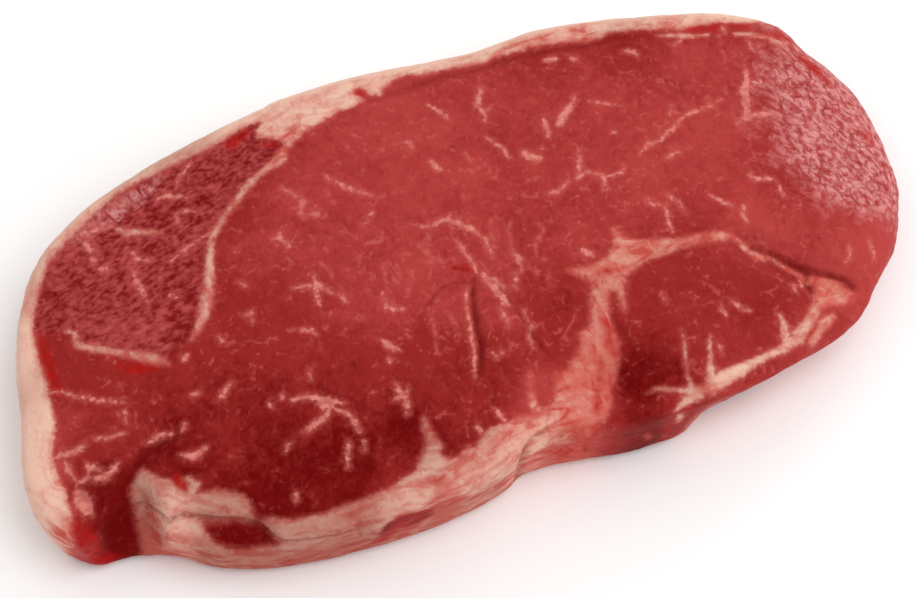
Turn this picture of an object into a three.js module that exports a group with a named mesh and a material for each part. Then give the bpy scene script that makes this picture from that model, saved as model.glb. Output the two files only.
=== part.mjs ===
// A raw sirloin steak: one slice cut square across a beef strip loin, lying flat on its underside.
// It is a single piece of lean and fat, so it is a single solid. All lengths are millimetres, +Z is up,
// +X runs along the slice and the origin is under the middle of it.
import * as THREE from "three";

// Driving dimensions of the slice.
const CUT_THICKNESS = 22; // between the two knife cuts, at the thick end
const THIN_END_DROP = 4.5; // how much lower the tapered end lies
const TAPER_FROM_X = 30;
const TAPER_TO_X = 100;
const TOP_ROUNDING = 3.5; // where the upper cut face turns down into the side
const END_ROUNDING = 9; // the same at the tapered end, which rolls over softly
const END_ROUNDING_FROM_X = 80;
const END_ROUNDING_TO_X = 104;
const FOOT_ROUNDING = 4; // where the side tucks in to the underside
const DOMING = 0.9; // rise of the cut face from its edge to its middle

// The tail is the corner of the slice outside the notch. It sags a little towards its tip.
const TAIL_DROP = 3;
const TAIL_FROM = [-84, -5];
const TAIL_TIP = [-100, -30];

// The widest outline of the slice, listed from the tapered end round by the front edge.
const OUTLINE = [
  [108, 7], [107.5, -4], [105, -17.5], [97, -31], [87.5, -40], [76, -49.5], [59.5, -54],
  [43.5, -56.5], [29.5, -56.1], [19, -55.5], [7, -53], [-3, -52], [-12.5, -55], [-28.5, -56.5],
  [-47, -55.5], [-64, -52.5], [-75.5, -47.5], [-84, -41], [-91.5, -38.5], [-100.5, -36.5],
  [-107.5, -28], [-108, -17], [-105, -7], [-98, 20], [-88.5, 34.5], [-76, 43], [-60.5, 48.5],
  [-40.5, 53], [-21, 55.5], [-4, 55], [10.5, 53], [26, 51], [41, 51.5], [58.5, 49], [77, 44.8],
  [91.5, 40.3], [99.5, 35.4], [102, 27.5], [105.5, 18],
];

// The notch between the tail and the body is open on top and almost closed at the underside.
const NOTCH_X = -92;
const NOTCH_HALF_WIDTH = 8;
const NOTCH_DEPTH_ON_TOP = 10.5;
const NOTCH_DEPTH_BELOW = 0.5;

// What belongs to the front edge fades out between these two lines.
const FRONT_EDGE_Y = -30;
const FRONT_ENDS_Y = -10;

// The side leans in under the cut face, and leans in most along this stretch of the front edge.
const COMMON_LEAN = 2;
const FRONT_LEAN = 6.5;
const LEAN_FROM_X = 43;
const LEAN_TO_X = 91;
const LEAN_MARGIN = 12;

// Here the fat of the cut face ends in a lip, short of the outline, and the side swells out below it.
const LIP_FROM_X = -82;
const LIP_TO_X = -67;
const LIP_MARGIN = 6;
const LIP_SET_BACK = 6;
const SWELLING_FROM_Z = 19; // the side begins to swell out here, going down
const SWELLING_TO_Z = 14; // and has reached the outline here

// A cleft in the cut face, between the eye of the meat and the small side muscle.
const CLEFT = [[62, -23.5], [69, -32.5], [77, -41]];
const CLEFT_DEPTH = 2.2;
const CLEFT_HALF_WIDTH = 4;

// The mesh: pairs of columns facing each other across a spine, rings on the cut face, rows down the side.
const COLUMN_PAIRS = 76;
const FACE_RINGS = 14;
const ARC_STEPS = 3;
const SIDE_STEPS = 6;
const TAIL_END = 21; // the point of the outline where the front edge ends and the back edge begins
const SPINE_SHARE = 0.69; // how far the spine reaches, as a share of the outline
const CURVE_STEPS = 40; // straight steps between two outline points when its length is measured

const smoothStep = (from, to, value) => THREE.MathUtils.smoothstep(value, from, to);

// 1 between two places along X on the front edge, easing to 0 over the margin outside them.
function alongFront(x, y, from, to, margin) {
  const inside = smoothStep(from - margin, from, x) * (1 - smoothStep(to, to + margin, x));
  return inside * (1 - smoothStep(FRONT_EDGE_Y, FRONT_ENDS_Y, y));
}

function distanceToPath(x, y, path) {
  const point = new THREE.Vector3(x, y, 0);
  const nearest = new THREE.Vector3();
  let best = Infinity;
  for (let i = 1; i < path.length; i++) {
    const start = new THREE.Vector3(...path[i - 1], 0);
    const end = new THREE.Vector3(...path[i], 0);
    new THREE.Line3(start, end).closestPointToPoint(point, true, nearest);
    best = Math.min(best, nearest.distanceTo(point));
  }
  return best;
}

// Height of the cut face over a point of the plan; edgeShare is 1 at the edge and 0 at the spine.
function faceHeight(x, y, edgeShare) {
  const taper = THIN_END_DROP * smoothStep(TAPER_FROM_X, TAPER_TO_X, x);
  const alongTail = 1 - smoothStep(TAIL_TIP[0], TAIL_FROM[0], x);
  const tail = TAIL_DROP * alongTail * (1 - smoothStep(TAIL_TIP[1], TAIL_FROM[1], y));
  const doming = DOMING * (1 - edgeShare ** 2);
  const fromCleft = distanceToPath(x, y, CLEFT) / CLEFT_HALF_WIDTH;
  const cleft = CLEFT_DEPTH * Math.exp(-(fromCleft ** 2));
  return CUT_THICKNESS - taper - tail + doming - cleft;
}

function topRounding(x) {
  const share = smoothStep(END_ROUNDING_FROM_X, END_ROUNDING_TO_X, x);
  return THREE.MathUtils.lerp(TOP_ROUNDING, END_ROUNDING, share);
}

// How far the side stands in from the outline; share runs from 0 at its top to 1 at its foot.
function sideInset(x, y, height, share) {
  const leaning = alongFront(x, y, LEAN_FROM_X, LEAN_TO_X, LEAN_MARGIN);
  const lean = THREE.MathUtils.lerp(COMMON_LEAN, FRONT_LEAN, leaning) * share;
  const underLip = alongFront(x, y, LIP_FROM_X, LIP_TO_X, LIP_MARGIN);
  const setBack = LIP_SET_BACK * underLip * smoothStep(SWELLING_TO_Z, SWELLING_FROM_Z, height);
  const fromNotch = (x - NOTCH_X) / NOTCH_HALF_WIDTH;
  const opening = y < FRONT_EDGE_Y ? Math.max(0, 1 - fromNotch ** 2) : 0;
  const notch = opening * THREE.MathUtils.lerp(NOTCH_DEPTH_ON_TOP, NOTCH_DEPTH_BELOW, share);
  return lean + setBack + notch;
}

// One column of the mesh: points from its foot on the spine, over the edge and down to the underside.
function columnPoints({ edge, foot }) {
  const outward = edge.clone().sub(foot);
  const reach = outward.length();
  outward.normalize();
  const at = (inset, z) => {
    const plan = outward.clone().multiplyScalar(reach - inset).add(foot);
    return new THREE.Vector3(plan.x, plan.y, z);
  };
  const rounding = topRounding(edge.x);
  const shoulder = faceHeight(edge.x, edge.y, 1) - rounding;
  const shoulderInset = sideInset(edge.x, edge.y, shoulder, 0);
  const points = [];

  // the cut face, from the spine outwards
  const faceReach = reach - shoulderInset - rounding;
  for (let ring = 0; ring <= FACE_RINGS; ring++) {
    const share = ring / FACE_RINGS;
    const point = at(reach - faceReach * share, 0);
    point.z = faceHeight(point.x, point.y, share);
    points.push(point);
  }
  const rimHeight = points.at(-1).z;

  // the rounded upper edge
  for (let step = 1; step <= ARC_STEPS; step++) {
    const turn = (step / ARC_STEPS) * (Math.PI / 2);
    const drop = (rimHeight - shoulder) * (1 - Math.cos(turn));
    points.push(at(shoulderInset + rounding * (1 - Math.sin(turn)), rimHeight - drop));
  }

  // the side, and the rounded foot
  for (let step = 1; step <= SIDE_STEPS; step++) {
    const share = step / SIDE_STEPS;
    const z = THREE.MathUtils.lerp(shoulder, FOOT_ROUNDING, share);
    points.push(at(sideInset(edge.x, edge.y, z, share), z));
  }
  const footInset = sideInset(edge.x, edge.y, FOOT_ROUNDING, 1);
  for (let step = 1; step <= ARC_STEPS; step++) {
    const turn = (step / ARC_STEPS) * (Math.PI / 2);
    const z = FOOT_ROUNDING * (1 - Math.sin(turn));
    points.push(at(footInset + FOOT_ROUNDING * (1 - Math.cos(turn)), z));
  }
  return points;
}

// Columns anticlockwise seen from above; the two of a pair stand on one foot on the spine.
function columnFeet() {
  const corners = OUTLINE.map(([x, y]) => new THREE.Vector3(x, y, 0));
  const loop = new THREE.CatmullRomCurve3(corners, true, "centripetal");
  const lengths = loop.getLengths(OUTLINE.length * CURVE_STEPS);
  const tailEnd = lengths[TAIL_END * CURVE_STEPS] / lengths.at(-1);
  const plan = (share) => {
    const point = loop.getPointAt(share);
    return new THREE.Vector2(point.x, point.y);
  };
  const front = [];
  const back = [];
  for (let i = 0; i <= COLUMN_PAIRS; i++) {
    const frontEdge = plan((tailEnd * i) / COLUMN_PAIRS);
    const backEdge = plan(1 - ((1 - tailEnd) * i) / COLUMN_PAIRS);
    const foot = new THREE.Vector2(((frontEdge.x + backEdge.x) / 2) * SPINE_SHARE, 0);
    front.push({ edge: frontEdge, foot });
    back.push({ edge: backEdge, foot });
  }
  return [...back, ...front.slice(1, -1).reverse()];
}

function steakGeometry() {
  const columns = columnFeet().map(columnPoints);
  const count = columns.length;
  const rows = columns[0].length;
  const points = [];
  for (let row = 0; row < rows; row++) {
    for (const column of columns) points.push(column[row]);
  }

  // in row 0 the column across the spine stands on the same point
  const indexOf = (row, i) => (row === 0 ? Math.min(i, (count - i) % count) : row * count + i);
  const triangles = [];
  for (let row = 0; row < rows - 1; row++) {
    for (let i = 0; i < count; i++) {
      const next = (i + 1) % count;
      const [a, b] = [indexOf(row, i), indexOf(row, next)];
      const [c, d] = [indexOf(row + 1, i), indexOf(row + 1, next)];
      triangles.push(a, c, b, b, c, d);
    }
  }

  // the flat underside
  const underside = points.slice(-count).map((point) => new THREE.Vector2(point.x, point.y));
  for (const [a, b, c] of THREE.ShapeUtils.triangulateShape(underside, [])) {
    triangles.push(...[a, c, b].map((i) => (rows - 1) * count + i));
  }

  const geometry = new THREE.BufferGeometry().setFromPoints(points);
  geometry.setIndex(triangles);
  geometry.computeBoundingBox();
  const middle = geometry.boundingBox.getCenter(new THREE.Vector3());
  geometry.translate(-middle.x, -middle.y, 0);
  geometry.computeVertexNormals();
  return geometry;
}

const rawBeef = new THREE.MeshStandardMaterial({ color: 0xa8383a, roughness: 0.45, metalness: 0 });

const steak = new THREE.Mesh(steakGeometry(), rawBeef);
steak.name = "steak";

const group = new THREE.Group();
group.add(steak);

export default group;
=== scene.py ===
import math

import bmesh
import bpy
import numpy as np
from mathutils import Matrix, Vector


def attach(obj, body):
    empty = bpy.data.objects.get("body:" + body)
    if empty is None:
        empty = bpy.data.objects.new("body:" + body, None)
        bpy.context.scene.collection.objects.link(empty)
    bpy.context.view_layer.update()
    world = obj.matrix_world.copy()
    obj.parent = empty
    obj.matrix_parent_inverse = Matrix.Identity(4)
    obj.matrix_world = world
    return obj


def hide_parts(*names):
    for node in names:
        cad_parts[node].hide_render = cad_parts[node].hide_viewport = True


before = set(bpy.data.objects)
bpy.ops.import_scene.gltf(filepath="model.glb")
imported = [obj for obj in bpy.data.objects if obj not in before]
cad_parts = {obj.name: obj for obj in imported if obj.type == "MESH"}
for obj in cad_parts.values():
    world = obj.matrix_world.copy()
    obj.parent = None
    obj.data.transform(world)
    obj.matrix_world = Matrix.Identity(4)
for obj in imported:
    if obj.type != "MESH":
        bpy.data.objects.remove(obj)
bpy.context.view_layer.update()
MM = 0.001

# ==== The slice ===================================================================================
# One thick slice of raw beef, cut square across the loin: a large eye of lean, a coarser cap muscle
# at its left end, a small side muscle in front, and a rind of fat round the back, left and front.
# It starts as the frame's own solid, divided finely enough to carry soft relief and marks.

FACET = 0.635 * MM  # size of the fine faces
SMOOTHING_ROUNDS = 12  # passes that melt the frame's flat facets into soft flesh
FLAT_BELOW = 0.25 * MM  # points lower than this lie on the board
UNDERSIDE_KEEP = 0.69  # share of the faces left once the flat underside is thinned


def made_plain(piece):
    """Turn a piece's live modifiers into its own plain mesh."""
    graph = bpy.context.evaluated_depsgraph_get()
    finished = piece.evaluated_get(graph)
    mesh = bpy.data.meshes.new_from_object(finished, preserve_all_data_layers=True, depsgraph=graph)
    piece.modifiers.clear()
    piece.data = mesh


blank = bpy.data.meshes.new("steak_slice")
merged = bmesh.new()
merged.from_mesh(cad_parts["steak"].data)
bmesh.ops.remove_doubles(merged, verts=merged.verts, dist=0.01 * MM)
merged.to_mesh(blank)
merged.free()
steak_slice = bpy.data.objects.new("steak_slice", blank)
bpy.context.scene.collection.objects.link(steak_slice)

fine = steak_slice.modifiers.new("fine faces", "REMESH")
fine.mode = "VOXEL"
fine.voxel_size = FACET
soft = steak_slice.modifiers.new("soft flesh", "SMOOTH")
soft.factor = 0.5
soft.iterations = SMOOTHING_ROUNDS
made_plain(steak_slice)


def points_of(mesh):
    """Every point of a mesh as rows of x, y, z in millimetres."""
    flat = np.zeros(len(mesh.vertices) * 3, np.float32)
    mesh.vertices.foreach_get("co", flat)
    return flat.reshape(-1, 3).astype(float) / MM


def normals_of(mesh):
    """Which way the surface faces at every point, as rows of x, y, z."""
    flat = np.zeros(len(mesh.vertices) * 3, np.float32)
    mesh.vertex_normals.foreach_get("vector", flat)
    return flat.reshape(-1, 3).astype(float)


lying = steak_slice.vertex_groups.new(name="lying on the board")
lowest = np.nonzero(points_of(steak_slice.data)[:, 2] * MM < FLAT_BELOW)[0]
lying.add(lowest.tolist(), 1.0, "REPLACE")
thinned = steak_slice.modifiers.new("plain underside", "DECIMATE")
thinned.ratio = UNDERSIDE_KEEP
thinned.vertex_group = lying.name
made_plain(steak_slice)
steak_slice.vertex_groups.clear()

point = points_of(steak_slice.data)
facing = normals_of(steak_slice.data)
x, y, z = point.T

# ---- Lean and fat over the cut face, in millimetres from the middle of the slice -----------------
# The two muscle fields are outlines: all that is outside them is fat, down the sides too.

EYE_AND_CAP = [
    (-101.5, -33), (-100.5, -31), (-100, -28), (-99.8, -24), (-100.2, -20), (-100, -15),
    (-98.5, -11.5), (-97, -8.5), (-96.3, -3), (-95.6, 4), (-95.5, 10), (-94.5, 15), (-92.8, 20),
    (-91, 24), (-88.8, 27.5), (-87, 30.5), (-83.5, 33.7), (-79, 36.4), (-74, 39.2), (-68, 42.5),
    (-60, 45), (-52, 46), (-45, 47), (-40, 48), (-36, 49), (-31, 50.4), (-28.5, 50), (-30.5, 48.3),
    (-31, 46), (-28.5, 45), (-26.5, 43), (-25, 41.7), (-22.5, 42.3), (-17, 43.8), (-10, 45.5),
    (-6, 46), (-4.5, 46.5), (-4.7, 48), (-5.7, 49.3), (-4.2, 50.3), (-3, 49), (-2, 47.5),
    (0, 46.5), (1, 48), (3, 48.5), (5, 49.5), (8, 49.5), (10, 48.5), (15, 48), (20, 47),
    (24, 46), (30, 46.3), (38, 45.8), (44, 45), (50, 43.5), (55, 43), (57, 43.7), (62, 42.5),
    (66, 41.5), (70, 40.5), (76, 38.8), (78, 39), (85, 38), (90, 35.8), (93, 35.2),
    (96, 36), (104, 40), (115, 30), (115, -20), (104, -38), (88, -52), (80.5, -46),
    (80, -43), (79.5, -41), (78, -38.5), (75, -36), (72, -34), (70, -32.5), (68, -30),
    (66, -27), (64, -25), (62.7, -24), (61.7, -21.5), (60.2, -19.3), (57, -18), (52, -17),
    (47, -16.5), (42, -15), (38, -13.5), (36, -11.5), (34.5, -8.5), (33.5, -10.5), (32.5, -13),
    (30, -15.5), (25, -16), (20.5, -15), (22.5, -18), (24, -20.5), (22.5, -23), (20.5, -27.5),
    (19, -30.3), (16, -31), (15.3, -34), (11.5, -37.5), (10, -39), (8.5, -38.5), (7.5, -39),
    (6, -43), (4, -45), (0, -46), (-5, -45.2), (-11, -45.5), (-14, -47), (-15.5, -48.5),
    (-18, -48), (-20, -49.3), (-22, -49), (-23.3, -47), (-22, -45), (-23, -41), (-23.5, -38),
    (-24.7, -40), (-25, -43.5), (-27, -46), (-30, -48.8), (-36, -50.6), (-45, -51),
    (-52, -50.8), (-58, -49.6), (-62, -47.5), (-65, -46), (-65, -42), (-65.7, -40), (-68, -38.5),
    (-71, -37), (-75, -36), (-76.5, -35.5), (-78, -33), (-78.7, -31), (-81, -29.3),
    (-82.5, -27.5), (-83.5, -25.5), (-85, -26), (-87, -29.5), (-87, -33), (-87.5, -46),
    (-94, -50), (-100, -44), (-101.5, -36),
]
SIDE_MUSCLE = [
    (24.5, -29), (26, -25.5), (27, -24), (28, -24.5), (27.8, -27), (27.5, -30), (28.5, -29.5),
    (29.5, -27), (30.5, -24), (32, -22), (35, -20.5), (38, -19.7), (45, -19.5), (53, -20),
    (58, -20.5), (60.3, -21.5), (61.5, -24), (62, -26.5), (63.7, -27.8), (65.5, -27.3),
    (67, -29.5), (69, -33), (70.5, -36), (72.3, -37.5), (70.5, -40.5), (68, -43), (64, -46),
    (60, -48.5), (55, -50.3), (50, -50.8), (45, -51), (40.5, -51.3), (38, -52.3), (35.5, -53.2),
    (33.5, -52.8), (30, -51.6), (28.3, -50.6), (26, -49.6), (24, -50.2), (26, -50.6), (28.5, -51.8),
    (31, -53.2), (33.5, -54.6), (35.5, -55.3), (38.6, -55.4), (42.8, -54.8), (46.2, -54),
    (49.5, -53), (53.5, -52.3), (58, -51.9), (62, -51), (66, -48.5), (70, -45), (72, -44.7),
    (77, -45), (80.5, -43), (88, -50), (78, -62), (30, -66), (10, -64), (9, -56), (10.4, -53),
    (13.5, -52.5), (15.1, -50.8), (16.1, -48.6), (17.1, -46.3), (18.5, -45.5), (20, -43.2),
    (21.8, -40.2), (23, -37), (23.5, -33),
]


def nearest_on(path, across, up):
    """Distance from every point to an open path, and how far along the path its nearest place is."""
    corners = np.array(path, float)[:, :2]
    lengths = np.linalg.norm(np.diff(corners, axis=0), axis=1)
    passed = np.concatenate([[0], np.cumsum(lengths)])
    nearest = np.full(len(across), 1e9)
    share = np.zeros(len(across))
    for i, length in enumerate(lengths):
        (ax, ay), (bx, by) = corners[i], corners[i + 1]
        along = ((across - ax) * (bx - ax) + (up - ay) * (by - ay)) / length**2
        along = np.clip(along, 0, 1)
        distance = np.hypot(across - ax - along * (bx - ax), up - ay - along * (by - ay))
        closer = distance < nearest
        nearest = np.where(closer, distance, nearest)
        share = np.where(closer, (passed[i] + along * length) / passed[-1], share)
    return nearest, share


def field_of(outline, across, up):
    """Millimetres inside a closed outline, less than 0 outside it."""
    nearest, _ = nearest_on(outline + outline[:1], across, up)
    inside = np.zeros(len(across), bool)
    for (ax, ay), (bx, by) in zip(outline, outline[1:] + outline[:1]):
        if ay != by:
            crosses = (ay > up) != (by > up)
            inside ^= crosses & (across < (bx - ax) * (up - ay) / (by - ay) + ax)
    return np.where(inside, nearest, -nearest)


def stroke_of(path, across, up, width=None):
    """Millimetres inside a brush stroke whose points hold their width, or which tapers to its ends."""
    nearest, share = nearest_on(path, across, up)
    if width is None:
        corners = np.array(path, float)
        lengths = np.linalg.norm(np.diff(corners[:, :2], axis=0), axis=1)
        passed = np.concatenate([[0], np.cumsum(lengths)])
        half = np.interp(share, passed / passed[-1], corners[:, 2] / 2)
    else:
        half = width / 2 * (0.45 + 0.55 * np.sin(np.pi * share) ** 0.6)
    return half - nearest


# Deeper down, the seams run a little aside, as they do in any thick slice.
SEAM_DRIFT = np.array([2.2, -1.6])
depth_share = np.clip(1 - z / z.max(), 0, 1)
plan_x = x + SEAM_DRIFT[0] * depth_share
plan_y = y + SEAM_DRIFT[1] * depth_share

# Fat inside the lean: the seam between cap and eye, the strip below the cap, sinews and spurs.
FAT_STROKES = [
    [(-50, 24.2, 1.4), (-51.9, 19.5, 2.1), (-53.5, 15.5, 2.3), (-55.8, 10.5, 3), (-57.4, 7, 2.9),
     (-59, 4.5, 2.3), (-61, 2, 1.7), (-63.5, -0.5, 0.7)],
    [(-49.6, 24, 1.2), (-47, 26.6, 1.7), (-45, 28.7, 1.6), (-43, 30, 1.6), (-41, 31.3, 2),
     (-39, 33, 2.1), (-36, 35, 1.9), (-33, 36.5, 1.9), (-30, 37.4, 2.2), (-28.3, 38.3, 3.4),
     (-26.5, 40.3, 2.2), (-24.5, 42, 2), (-22, 43, 2)],
    [(-87.5, 12.6, 1.1), (-86.3, 11.5, 1.2), (-87, 9.6, 1), (-86.6, 8, 1.9), (-84, 6.2, 2.1),
     (-81, 4.2, 1.9), (-78, 2.2, 1.9), (-75.5, 0.6, 2.3), (-73, -1, 2.9), (-71.3, -2.6, 2.6),
     (-70.3, -3.8, 1)],
    [(-75.2, -32.3, 1.7), (-74.4, -34, 2.5), (-76, -36, 1.4)],
    [(-69, 34.4, 1), (-67, 32.7, 2.2), (-64, 31.2, 1.8), (-60, 29.5, 0.7)],
    [(-22.8, -45.5, 1.6), (-23.8, -42.5, 1.7), (-23.6, -39.5, 1.2), (-23.4, -37.8, 0.6)],
    [(7.8, -38.5, 0.8), (6.8, -42, 1.8), (5.5, -45, 2.6)],
    [(-0.3, -45.5, 2), (0.2, -42.5, 1.6), (1, -39, 0.9), (2.2, -36.3, 0.8)],
    [(33.3, -53.5, 1.5), (34, -50, 0.8), (35.5, -45, 0.5), (37, -41.5, 0.4), (37.6, -38.7, 0.1)],
    [(38.3, -53, 2.6), (40, -49, 1.3), (41.5, -45, 0.6), (43.2, -42, 0.2)],
    [(58.3, -49.5, 2.2), (60, -46, 1.6), (60.2, -43, 0.8)],
    [(64, -51.5, 1.6), (67, -49.2, 2), (70, -47.3, 3), (71.5, -47, 2)],
    [(68.5, 39, 0.6), (71, 38.2, 1.2), (75, 36.7, 1.3), (80, 35.3, 0.7)],
    [(86.5, 33.5, 0.7), (91.5, 31, 1.4), (93.5, 29.5, 1.4), (95.5, 27.2, 1.3), (97.5, 26.8, 0.7)],
]

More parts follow.
